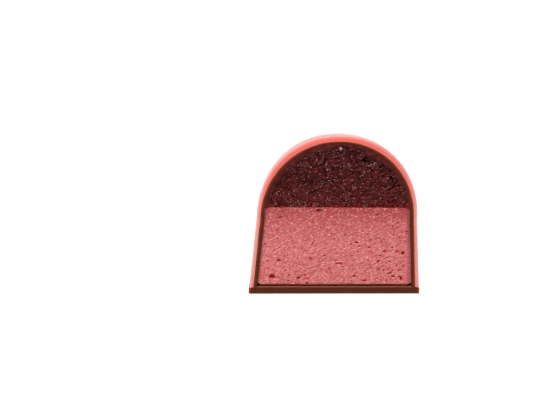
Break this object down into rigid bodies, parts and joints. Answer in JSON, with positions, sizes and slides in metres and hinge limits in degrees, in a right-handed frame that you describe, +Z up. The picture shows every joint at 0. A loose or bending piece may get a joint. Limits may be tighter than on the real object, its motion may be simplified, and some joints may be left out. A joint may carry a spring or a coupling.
{
  "type": "raspberry ganache bonbon, cut half",
  "caption": "Half of a dome-shaped chocolate bonbon with a pink shell, standing on its base, its cut side showing raspberry gel over pink ganache.",
  "frame": {"origin": "middle of the footprint, on the surface that the base stands on", "axes": "+Z up; the cut side faces -Y and lies at y = -0.007; +X runs along the cut to the viewer's right"},
  "size_m": [0.028, 0.014, 0.0265],
  "materials": {
    "pink_shell": "glossy pink coloured chocolate",
    "dark_chocolate": "satin dark chocolate",
    "base_chocolate": "satin dark chocolate",
    "raspberry_gel": "wet, torn dark red fruit gel",
    "raspberry_ganache": "matt pale pink crumb with open bubbles"
  },
  "bodies": {
    "root": {"pink_shell": "pink_shell", "chocolate_lining": "dark_chocolate", "chocolate_base": "base_chocolate", "raspberry_gel": "raspberry_gel", "raspberry_ganache": "raspberry_ganache"}
  },
  "joints": []
}
